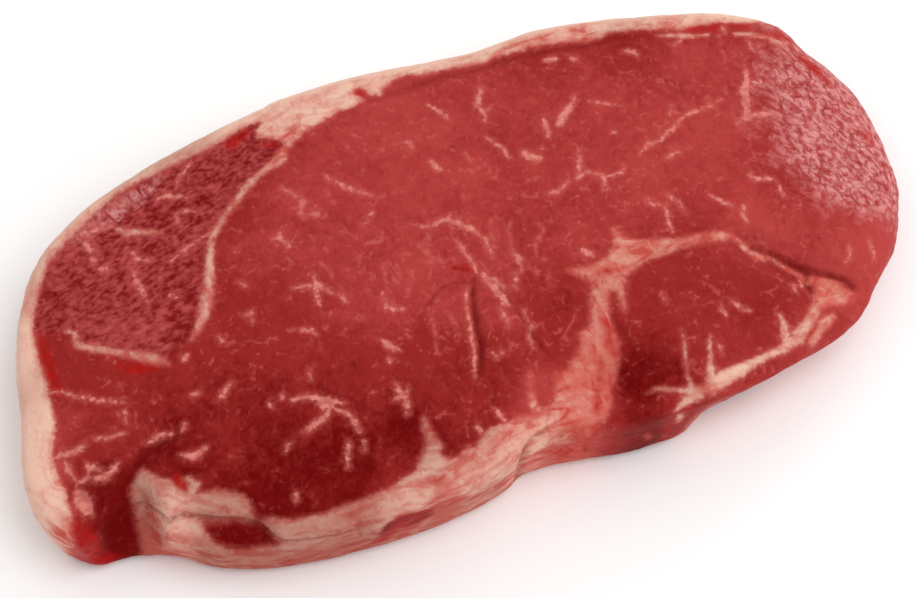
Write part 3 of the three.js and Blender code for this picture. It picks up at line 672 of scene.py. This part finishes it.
def step(tree, value, start, end, to_start=0.0, to_end=1.0):
    """Ease from one value to another between start and end."""
    node = tree.nodes.new("ShaderNodeMapRange")
    node.interpolation_type = "SMOOTHSTEP"
    for socket, source in zip(node.inputs, (value, start, end, to_start, to_end)):
        join(tree, source, socket)
    return node.outputs[0]


def blend(tree, share, a, b):
    """Go from colour a to colour b by a share from 0 to 1."""
    node = tree.nodes.new("ShaderNodeMix")
    node.data_type = "RGBA"
    join(tree, share, node.inputs[0])
    join(tree, a, node.inputs[6])
    join(tree, b, node.inputs[7])
    return node.outputs[2]


def noise(tree, place, per_mm, detail=2.0, rough=0.5, bend=0.0):
    """Soft noise from 0 to 1 with so many waves to the millimetre."""
    node = tree.nodes.new("ShaderNodeTexNoise")
    join(tree, place, node.inputs["Vector"])
    node.inputs["Scale"].default_value = per_mm
    node.inputs["Detail"].default_value = detail
    node.inputs["Roughness"].default_value = rough
    node.inputs["Distortion"].default_value = bend
    return node.outputs[0]


def cells(tree, place, per_mm, bend):
    """Depth inside the cells of a crumpled net, 0 on its lines, which wander by bend millimetres."""
    crumpled = tree.nodes.new("ShaderNodeVectorMath")
    crumpled.operation = "MULTIPLY_ADD"
    wander = noise(tree, place, per_mm * 1.5, 1.5).node.outputs["Color"]
    join(tree, wander, crumpled.inputs[0])
    crumpled.inputs[1].default_value = (bend, bend, bend)
    join(tree, place, crumpled.inputs[2])
    node = tree.nodes.new("ShaderNodeTexVoronoi")
    node.feature = "DISTANCE_TO_EDGE"
    join(tree, crumpled.outputs[0], node.inputs["Vector"])
    node.inputs["Scale"].default_value = per_mm
    return node.outputs["Distance"]


def stretched(tree, place, angle, along, across):
    """Draw a pattern out along a direction given in degrees from X."""
    node = tree.nodes.new("ShaderNodeMapping")
    node.vector_type = "TEXTURE"
    join(tree, place, node.inputs["Vector"])
    node.inputs["Rotation"].default_value = (0, 0, math.radians(angle))
    node.inputs["Scale"].default_value = (along, across, 1)
    return node.outputs[0]


def new_group(name, floats, outputs):
    """A node group with a place in millimetres and some shares as inputs."""
    group = bpy.data.node_groups.new(name, "ShaderNodeTree")
    group.interface.new_socket("Place", in_out="INPUT", socket_type="NodeSocketVector")
    for label in floats:
        group.interface.new_socket(label, in_out="INPUT", socket_type="NodeSocketFloat")
    for label, kind in outputs:
        group.interface.new_socket(label, in_out="OUTPUT", socket_type=kind)
    given = group.nodes.new("NodeGroupInput").outputs
    return group, given, group.nodes.new("NodeGroupOutput").inputs


def vary(tree, level, waves):
    """Move a level up and down by noises, each with its own strength."""
    for wave, strength in waves:
        offset = product(tree, calc(tree, "SUBTRACT", wave, 0.5), strength)
        level = calc(tree, "ADD", level, offset)
    return level


TISSUE_OUT = [
    ("Color", "NodeSocketColor"), ("Roughness", "NodeSocketFloat"), ("Height", "NodeSocketFloat"),
]
FIBRE_ANGLE = 74  # how the fibres of the eye lie in plan, in degrees from X
CAP_ANGLE = 14  # the same for the cap
FOLD_ANGLE = 104  # and for the folds of the worn end
LEAN_BROAD = 0.07  # the patterns of the lean, in waves or cells to the millimetre
LEAN_CLOUDS = 0.3
LEAN_GRAIN = 1.1
LEAN_STREAKS = 0.55
VEIN_NET = 0.24
CRUMBS = 0.6
CAP_BUNDLES = 0.5
CAP_GRAIN = 1.0
END_FOLDS = 0.8
LEATHER_NET = 0.42

muscle, given, made = new_group("lean", ["Shade", "Threads", "Cap", "Wrinkle", "Wet"], TISSUE_OUT)
place = given["Place"]
fibres = stretched(muscle, place, FIBRE_ANGLE, 1.5, 1.0)
broad = noise(muscle, place, LEAN_BROAD, 3.0, 0.55)
clouds = noise(muscle, place, LEAN_CLOUDS, 3.0, 0.55, 0.8)
grain = noise(muscle, fibres, LEAN_GRAIN, 2.0, 0.55, 0.3)
# the Shade input is partly painted shade: the lean is painted darker where less light falls
level = vary(muscle, given["Shade"], [(broad, 0.6), (clouds, 0.55), (grain, 0.3)])
dark_to_red = blend(muscle, step(muscle, level, 0.0, 0.5), LEAN_DARK, LEAN_RED)
color = blend(muscle, step(muscle, level, 0.45, 1.05), dark_to_red, LEAN_LIGHT)
# pale streaks and dark furrows run with the fibres, many in some places and few in others
long_fibres = stretched(muscle, place, FIBRE_ANGLE, 2.2, 1.0)
streaks = noise(muscle, long_fibres, LEAN_STREAKS, 2.0, 0.5, 0.9)
amount = vary(muscle, given["Threads"], [(noise(muscle, place, 0.12, 2.0), 1.6)])
amount = step(muscle, amount, 0.1, 1.0, 0.03, 0.42)
lines = step(muscle, streaks, 0.56, 0.76)
color = blend(muscle, product(muscle, lines, amount), color, LEAN_STREAK)
furrows = step(muscle, streaks, 0.38, 0.24)
color = blend(muscle, product(muscle, furrows, amount), color, LEAN_DARK)
# broken veins and crumbs of fat, gathered in patches
patches = step(muscle, noise(muscle, place, 0.15, 2.0), 0.42, 0.62, 0.25, 1.0)
patches = product(muscle, patches, step(muscle, level, 0.0, 0.6, 0.3, 1.0))
veins = step(muscle, cells(muscle, place, VEIN_NET, 2.5), 0.11, 0.02)
broken = step(muscle, noise(muscle, place, 0.4, 1.0), 0.52, 0.64)
color = blend(muscle, product(muscle, veins, broken, patches, 0.4), color, LEAN_THREAD)
crumbs = step(muscle, noise(muscle, place, CRUMBS, 1.5), 0.62, 0.76)
color = blend(muscle, product(muscle, crumbs, patches, 0.5), color, LEAN_THREAD)
# the cap is coarser: dark bundles in a pale, crumbly net
cap_grain = stretched(muscle, place, CAP_ANGLE, 1.5, 1.0)
bundles = noise(muscle, cap_grain, CAP_BUNDLES, 3.0, 0.65, 0.3)
coarse = noise(muscle, cap_grain, CAP_GRAIN)
pale = vary(muscle, bundles, [(coarse, 0.55), (broad, 0.6)])
net = blend(muscle, step(muscle, pale, 0.22, 0.74), CAP_DARK, CAP_PALE)
bright = step(muscle, pale, 0.66, 0.86)
net = blend(muscle, product(muscle, bright, 0.6), net, LEAN_THREAD)
color = blend(muscle, product(muscle, given["Cap"], 0.9), color, net)
# the thin end is paler and wrinkled like leather: partly a drier skin, partly a painted sheen on the
# crests of its folds, with dark lines between the folds
along_folds = stretched(muscle, place, FOLD_ANGLE, 1.7, 1.0)
folds = noise(muscle, along_folds, END_FOLDS, 3.0, 0.6, 0.4)
worn_and_sheen = vary(muscle, given["Wrinkle"], [(clouds, 1.0), (broad, 0.7)])
worn_and_sheen = product(muscle, step(muscle, worn_and_sheen, 0.15, 0.8), step(muscle, given["Wrinkle"], 0.0, 0.3))
crest_sheen = step(muscle, folds, 0.36, 0.64, 0.1, 1.0)
color = blend(muscle, product(muscle, worn_and_sheen, crest_sheen, 0.8), color, WRINKLE_PINK_SHEEN)
leather = cells(muscle, along_folds, LEATHER_NET, 2.2)
here_and_there = step(muscle, noise(muscle, place, 0.3, 2.0), 0.38, 0.58)
cracks = product(muscle, step(muscle, leather, 0.14, 0.01), here_and_there)
color = blend(muscle, product(muscle, worn_and_sheen, cracks, 0.65), color, WRINKLE_DARK)
wetness = product(muscle, given["Wet"], step(muscle, clouds, 0.36, 0.6, 0.4, 0.9))
color = blend(muscle, wetness, color, WET_RED)
join(muscle, color, made["Color"])
gloss = step(muscle, clouds, 0.3, 0.7, 0.42, 0.54)
gloss = calc(muscle, "SUBTRACT", gloss, product(muscle, given["Wet"], 0.14))
join(muscle, gloss, made["Roughness"])
height = vary(muscle, grain, [(clouds, 0.8)])
height = calc(muscle, "ADD", height, product(muscle, coarse, given["Cap"], 1.4))
height = calc(muscle, "ADD", height, product(muscle, folds, given["Wrinkle"], 2))
join(muscle, height, made["Height"])

STRAND_ANGLE = 82  # how strands that cross the slice lie in plan, in degrees from X
FAT_BROAD = 0.11  # the patterns of the fat, in waves or cells to the millimetre
FAT_CLOUDS = 0.42
FAT_GRAIN = 1.3
STRANDS_ALONG_RIM = 0.36
STRANDS_OVER_SLICE = 0.4
LOBE_NET = 0.2
fat_inputs = ["Cream", "Shade", "Run", "Inset", "Across", "Depth", "Wet"]
rind, given, made = new_group("fat", fat_inputs, TISSUE_OUT)
place = given["Place"]
broad = noise(rind, place, FAT_BROAD, 3.0, 0.55)
clouds = noise(rind, place, FAT_CLOUDS, 4.0, 0.6, 0.8)
grain = noise(rind, place, FAT_GRAIN, 3.0, 0.6)
rim_place = rind.nodes.new("ShaderNodeCombineXYZ")
join(rind, product(rind, given["Run"], 0.4), rim_place.inputs["X"])
join(rind, given["Inset"], rim_place.inputs["Y"])
parts = rind.nodes.new("ShaderNodeSeparateXYZ")
join(rind, place, parts.inputs[0])
join(rind, parts.outputs["Z"], rim_place.inputs["Z"])
along = noise(rind, rim_place.outputs[0], STRANDS_ALONG_RIM, 2.5, 0.5, 0.8)
over_slice = stretched(rind, place, STRAND_ANGLE, 2.6, 1.0)
across = noise(rind, over_slice, STRANDS_OVER_SLICE, 2.5, 0.5, 0.8)
strands = step(rind, blend(rind, given["Across"], along, across), 0.36, 0.64)
between_lobes = step(rind, cells(rind, place, LOBE_NET, 4.0), 0.12, 0.01)
here_and_there = step(rind, noise(rind, place, 0.3, 2.0), 0.45, 0.6)
in_pink = step(rind, given["Cream"], 0.95, 0.7, 0.3, 1.0)
between_lobes = product(rind, between_lobes, here_and_there, in_pink)
level = vary(rind, given["Cream"], [(broad, 0.8), (clouds, 0.8), (grain, 0.25), (strands, 0.35)])
color = blend(rind, step(rind, level, -0.1, 1.05), FAT_PINK, FAT_CREAM)
# the palest cream: partly the fat's own, partly a painted highlight along the back rim
color = blend(rind, step(rind, given["Cream"], 1.1, 1.6), color, FAT_PALE_AND_RIM_HIGHLIGHT)
color = blend(rind, product(rind, between_lobes, 0.25), color, FAT_EDGE)
# it reddens where it is thin, and in streaks between its strands
thin = step(rind, calc(rind, "ADD", given["Depth"], clouds), 2.0, 0.1)
color = blend(rind, product(rind, thin, 0.65), color, FAT_EDGE)
streaks = step(rind, strands, 0.35, 0.0)
pinker = step(rind, given["Cream"], 0.8, 0.1, 0.0, 0.7)
color = blend(rind, product(rind, streaks, pinker), color, FAT_EDGE)
# painted shade: where the Shade mark is low, the fat is darkened
fat_shade = step(rind, given["Shade"], 0.85, 0.0, 0.0, 0.55)
color = blend(rind, fat_shade, color, FAT_IN_SHADE)
wetness = product(rind, given["Wet"], step(rind, clouds, 0.36, 0.6, 0.3, 0.75))
color = blend(rind, wetness, color, WET_RED)
join(rind, color, made["Color"])
join(rind, step(rind, clouds, 0.25, 0.75, 0.4, 0.56), made["Roughness"])
height = vary(rind, grain, [(clouds, 2.0)])
join(rind, height, made["Height"])

raw_beef = bpy.data.materials.new("raw_beef")
raw_beef.use_nodes = True
tree = raw_beef.node_tree
tree.nodes.clear()


def mark_of(name):
    """A mark of the mesh, as a number for the material."""
    node = tree.nodes.new("ShaderNodeAttribute")
    node.attribute_name = name
    return node.outputs["Fac"]


object_place = tree.nodes.new("ShaderNodeTexCoord").outputs["Object"]
in_mm = tree.nodes.new("ShaderNodeVectorMath")
in_mm.operation = "SCALE"
in_mm.inputs["Scale"].default_value = 1 / MM
tree.links.new(object_place, in_mm.inputs[0])
place = in_mm.outputs[0]


def placed(group, **sources):
    """Put a group in the material and feed its inputs by their names."""
    node = tree.nodes.new("ShaderNodeGroup")
    node.node_tree = group
    for label, source in sources.items():
        join(tree, source, node.inputs[label])
    return node.outputs


# the edges of the fat and of its flecks are ragged, by so many millimetres
RAGGED = 1.6
TORN = 1.2
FRAYED = 2.4
ragged = noise(tree, place, 0.8, 3.0, 0.6)
torn = noise(tree, place, 0.22)
rough_edge = calc(tree, "ADD", product(tree, ragged, RAGGED), product(tree, torn, TORN))
rough_edge = calc(tree, "SUBTRACT", rough_edge, (RAGGED + TORN) / 2)
fat_depth = calc(tree, "ADD", mark_of("fat"), rough_edge)
is_fat = step(tree, fat_depth, -0.45, 0.5)
frayed = product(tree, calc(tree, "SUBTRACT", ragged, 0.5), FRAYED)
fleck_depth = calc(tree, "ADD", mark_of("fleck"), frayed)
fleck_strength = step(tree, noise(tree, place, 0.45, 2.0), 0.36, 0.62, 0.4, 0.95)
is_fleck = product(tree, step(tree, fleck_depth, -0.2, 0.6), fleck_strength)
fleck_glow = step(tree, fleck_depth, -1.3, 0.3, 0.0, 0.35)
is_thread = product(tree, mark_of("thread"), step(tree, ragged, 0.4, 0.6, 0.25, 0.75))

lean_look = placed(muscle, Place=place, Shade=mark_of("shade"), Threads=mark_of("threads"),
                   Cap=mark_of("cap"), Wrinkle=mark_of("wrinkle"), Wet=mark_of("wet"))
fat_look = placed(rind, Place=place, Cream=mark_of("cream"), Shade=mark_of("shade"),
                  Run=mark_of("run"), Inset=mark_of("inset"), Across=mark_of("across"),
                  Depth=fat_depth, Wet=mark_of("wet"))
opened = mark_of("crease")
shaded = mark_of("hollow")
# painted shade: hollows and shaded seams are darkened towards a deep red
color = blend(tree, product(tree, shaded, 0.4), lean_look["Color"], SHADE_RED)
color = blend(tree, is_thread, color, LEAN_THREAD)
color = blend(tree, fleck_glow, color, LEAN_THREAD)
color = blend(tree, step(tree, fat_depth, -1.2, 0.0, 0.0, 0.25), color, LEAN_THREAD)
color = blend(tree, is_fleck, color, FLECK_PINK)
color = blend(tree, is_fat, color, fat_look["Color"])
# painted shade: creases and gaping seams are darkened, deep red in lean and brownish in fat
crease_shade_color = blend(tree, is_fat, SHADE_RED, FAT_CREASE_SHADE)
gaping_shade = product(tree, opened, step(tree, ragged, 0.36, 0.62, 0.3, 0.75))
color = blend(tree, gaping_shade, color, crease_shade_color)


def mixed(share, a, b):
    """The same as blend, for plain numbers."""
    node = tree.nodes.new("ShaderNodeMix")
    join(tree, share, node.inputs[0])
    join(tree, a, node.inputs[2])
    join(tree, b, node.inputs[3])
    return node.outputs[0]


GRAIN_DEPTH = 0.16 * MM
GLOW_REACH = 2 * MM  # how far light spreads in the flesh
bump = tree.nodes.new("ShaderNodeBump")
bump.inputs["Strength"].default_value = 1.0
bump.inputs["Distance"].default_value = GRAIN_DEPTH
join(tree, mixed(is_fat, lean_look["Height"], fat_look["Height"]), bump.inputs["Height"])

flesh = tree.nodes.new("ShaderNodeBsdfPrincipled")
flesh.inputs["IOR"].default_value = 1.42
flesh.inputs["Specular IOR Level"].default_value = 0.04
flesh.inputs["Subsurface Weight"].default_value = 0.15
flesh.inputs["Subsurface Radius"].default_value = (1.0, 0.35, 0.25)
flesh.inputs["Subsurface Scale"].default_value = GLOW_REACH
tree.links.new(color, flesh.inputs["Base Color"])
gloss = mixed(is_fat, lean_look["Roughness"], fat_look["Roughness"])
gloss = calc(tree, "ADD", gloss, product(tree, calc(tree, "MAXIMUM", opened, shaded), 0.35))
tree.links.new(gloss, flesh.inputs["Roughness"])
tree.links.new(bump.outputs[0], flesh.inputs["Normal"])
tree.links.new(flesh.outputs[0], tree.nodes.new("ShaderNodeOutputMaterial").inputs[0])

# ---- Relief --------------------------------------------------------------------------------------
# A Geometry Nodes tree raises and lowers the flesh along its own normals: fat stands proud, seams
# and creases sink, the sides are lumpy, the thin end is wrinkled. Its sizes are in millimetres.
RELIEF_SIZES = {
    "Fat Height": 0.35,
    "Crease Depth": 0.7,
    "Hollow Depth": 0.6,
    "Cap Drop": 0.35,
    "Fleck Height": 0.06,
    "Lump Height": 0.9,
    "Lump Size": 9.0,
    "Ripple Height": 0.35,
    "Ripple Size": 2.6,
    "Wrinkle Height": 0.5,
    "Wrinkle Size": 2.2,
}

WRINKLE_ANGLE = 75  # how the wrinkles lie in plan, in degrees from X
WRINKLE_SQUEEZE = 0.6  # under 1, they are longer than they are wide

relief = bpy.data.node_groups.new("flesh relief", "GeometryNodeTree")
relief.interface.new_socket("Geometry", in_out="INPUT", socket_type="NodeSocketGeometry")
for label in RELIEF_SIZES:
    relief.interface.new_socket(label, in_out="INPUT", socket_type="NodeSocketFloat")
relief.interface.new_socket("Flesh", in_out="INPUT", socket_type="NodeSocketMaterial")
relief.interface.new_socket("Geometry", in_out="OUTPUT", socket_type="NodeSocketGeometry")
given = relief.nodes.new("NodeGroupInput").outputs


def relief_mark(name):
    node = relief.nodes.new("GeometryNodeInputNamedAttribute")
    node.data_type = "FLOAT"
    node.inputs["Name"].default_value = name
    return node.outputs["Attribute"]


def relief_wave(place, size, detail):
    """Noise from -0.5 to 0.5 whose waves have a size in millimetres."""
    wave = noise(relief, place, 1.0, detail, 0.5)
    join(relief, calc(relief, "DIVIDE", 1 / MM, size), wave.node.inputs["Scale"])
    return calc(relief, "SUBTRACT", wave, 0.5)


here = relief.nodes.new("GeometryNodeInputPosition").outputs[0]
outward = relief.nodes.new("GeometryNodeInputNormal").outputs[0]
upright = relief.nodes.new("ShaderNodeSeparateXYZ")
join(relief, outward, upright.inputs[0])
height_here = relief.nodes.new("ShaderNodeSeparateXYZ")
join(relief, here, height_here.inputs[0])
sideways = step(relief, calc(relief, "ABSOLUTE", upright.outputs["Z"]), 0.95, 0.5, 0.25, 1.0)
on_top = step(relief, upright.outputs["Z"], 0.3, 0.9)
raised = product(relief, step(relief, relief_mark("fat"), -0.5, 1.6), given["Fat Height"])
raised = product(relief, raised, on_top)
terms = [
    product(relief, step(relief, relief_mark("fleck"), -0.3, 0.5), given["Fleck Height"]),
    product(relief, relief_mark("crease"), product(relief, given["Crease Depth"], -1)),
    product(relief, relief_mark("hollow"), product(relief, given["Hollow Depth"], -1)),
    product(relief, relief_mark("cap"), product(relief, given["Cap Drop"], -1)),
]
lumps = product(relief, relief_wave(here, given["Lump Size"], 2.0), given["Lump Height"])
terms.append(product(relief, lumps, sideways))
ripples = product(relief, relief_wave(here, given["Ripple Size"], 2.0), given["Ripple Height"])
terms.append(product(relief, ripples, sideways))
turned = relief.nodes.new("ShaderNodeVectorRotate")
join(relief, here, turned.inputs["Vector"])
turned.rotation_type = "Z_AXIS"
turned.inputs["Angle"].default_value = -math.radians(WRINKLE_ANGLE)
drawn = relief.nodes.new("ShaderNodeVectorMath")
drawn.operation = "MULTIPLY"
join(relief, turned.outputs[0], drawn.inputs[0])
drawn.inputs[1].default_value = (WRINKLE_SQUEEZE, 1, 1)
wrinkle_wave = relief_wave(drawn.outputs[0], given["Wrinkle Size"], 3.0)
wrinkles = product(relief, wrinkle_wave, given["Wrinkle Height"])
terms.append(product(relief, wrinkles, relief_mark("wrinkle")))
for term in terms:
    raised = calc(relief, "ADD", raised, term)
# the underside stays flat where it lies, so that the slice rests as it does in the frame
off_the_board = step(relief, height_here.outputs["Z"], 0.2 * MM, 3 * MM)
raised = product(relief, product(relief, raised, off_the_board), MM)
lift = relief.nodes.new("ShaderNodeVectorMath")
lift.operation = "SCALE"
join(relief, outward, lift.inputs[0])
join(relief, raised, lift.inputs["Scale"])
shaped = relief.nodes.new("GeometryNodeSetPosition")
smooth_shaded = relief.nodes.new("GeometryNodeSetShadeSmooth")
realized = relief.nodes.new("GeometryNodeRealizeInstances")
finished = relief.nodes.new("GeometryNodeSetMaterial")
join(relief, given["Geometry"], shaped.inputs["Geometry"])
join(relief, lift.outputs[0], shaped.inputs["Offset"])
join(relief, shaped.outputs[0], smooth_shaded.inputs["Geometry"])
join(relief, smooth_shaded.outputs[0], realized.inputs["Geometry"])
join(relief, realized.outputs[0], finished.inputs["Geometry"])
join(relief, given["Flesh"], finished.inputs["Material"])
join(relief, finished.outputs[0], relief.nodes.new("NodeGroupOutput").inputs[0])

shaping = steak_slice.modifiers.new("flesh relief", "NODES")
shaping.node_group = relief
values = {**RELIEF_SIZES, "Flesh": raw_beef}
for socket in relief.interface.items_tree:
    if socket.in_out == "INPUT" and socket.name in values:
        shaping[socket.identifier] = values[socket.name]
made_plain(steak_slice)

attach(steak_slice, "root")
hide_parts("steak")

# ==== The table ===================================================================================
# A plain white sheet that the slice lies on. It is not part of the object.
TABLE_SIZE = 6.0  # metres, so that its edge never shows
table_mesh = bpy.data.meshes.new("table")
half = TABLE_SIZE / 2
corners = [(-half, -half, 0), (half, -half, 0), (half, half, 0), (-half, half, 0)]
table_mesh.from_pydata(corners, [], [(0, 1, 2, 3)])
table = bpy.data.objects.new("table", table_mesh)
bpy.context.scene.collection.objects.link(table)
white = bpy.data.materials.new("white_sheet")
white.use_nodes = True
sheet = white.node_tree.nodes["Principled BSDF"]
sheet.inputs["Base Color"].default_value = (1, 1, 1, 1)
sheet.inputs["Roughness"].default_value = 0.9
table_mesh.materials.append(white)

# ==== Light and camera ============================================================================
# A large soft lamp high in front of the slice, a weaker one low behind its thin end, and pale
# surroundings. The camera looks down on the front edge, with the tail at its left.
world = bpy.data.worlds.new("pale room")
bpy.context.scene.world = world
world.use_nodes = True
surroundings = world.node_tree.nodes["Background"]
surroundings.inputs["Color"].default_value = (1, 1, 1, 1)
surroundings.inputs["Strength"].default_value = 0.7


def soft_lamp(name, place, aim, size, watts):
    light = bpy.data.lights.new(name, "AREA")
    light.shape = "DISK"
    light.size = size
    light.energy = watts
    lamp = bpy.data.objects.new(name, light)
    lamp.location = place
    lamp.rotation_euler = (Vector(aim) - Vector(place)).to_track_quat("-Z", "Y").to_euler()
    bpy.context.scene.collection.objects.link(lamp)


soft_lamp("key", place=(0.3, -0.35, 0.95), aim=(0, 0, 0), size=0.8, watts=4.5)
soft_lamp("back", place=(0.9, 0.7, 0.4), aim=(0.05, 0, 0.01), size=0.5, watts=2)

CAMERA_PLACE = Vector((-119.67, -289.39, 501.9)) * MM
CAMERA_AIM = Vector((-2.37, -6.29, 11.5)) * MM
LENS = 100
SENSOR_WIDTH = 36

camera_data = bpy.data.cameras.new("camera")
camera_data.lens = LENS
camera_data.sensor_width = SENSOR_WIDTH
camera_data.clip_start = 0.01
camera = bpy.data.objects.new("camera", camera_data)
camera.location = CAMERA_PLACE
camera.rotation_euler = (CAMERA_AIM - CAMERA_PLACE).to_track_quat("-Z", "Y").to_euler()
bpy.context.scene.collection.objects.link(camera)
bpy.context.scene.camera = camera
bpy.context.scene.view_settings.view_transform = "Standard"
